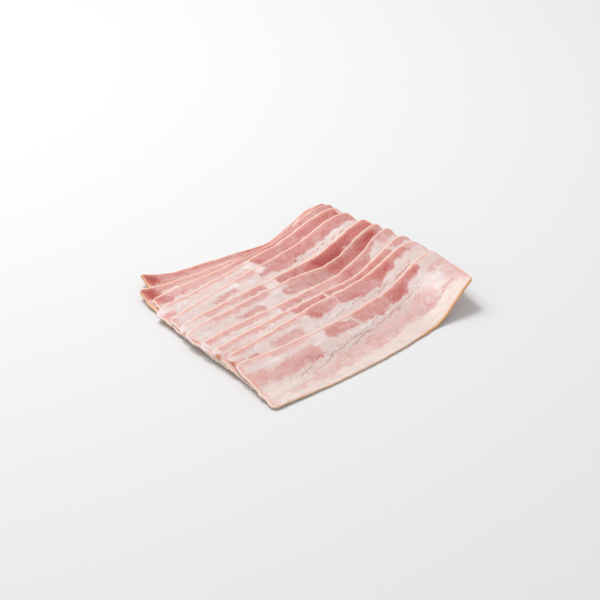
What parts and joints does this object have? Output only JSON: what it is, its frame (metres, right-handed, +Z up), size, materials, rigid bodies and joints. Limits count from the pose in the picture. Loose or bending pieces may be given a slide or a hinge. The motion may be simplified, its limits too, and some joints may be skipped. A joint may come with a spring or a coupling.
{
  "type": "sliced bacon",
  "caption": "Raw streaky bacon rashers laid like shingles in a loose fan, with their far ends raised and drooping.",
  "frame": {"origin": "middle of the fan's outline, on the plane that it lies on", "axes": "+X along the rashers towards their raised far ends, +Y across them towards the first one laid, +Z up"},
  "size_m": [0.1702, 0.155, 0.0181],
  "materials": {
    "cured_pork": "moist cured pork, rose lean marbled with cream fat"
  },
  "bodies": {
    "root": {"rasher_01": "cured_pork", "rasher_02": "cured_pork", "rasher_03": "cured_pork", "rasher_04": "cured_pork", "rasher_05": "cured_pork", "rasher_06": "cured_pork", "rasher_07": "cured_pork", "rasher_08": "cured_pork", "rasher_09": "cured_pork", "rasher_10": "cured_pork", "rasher_11": "cured_pork"}
  },
  "joints": []
}
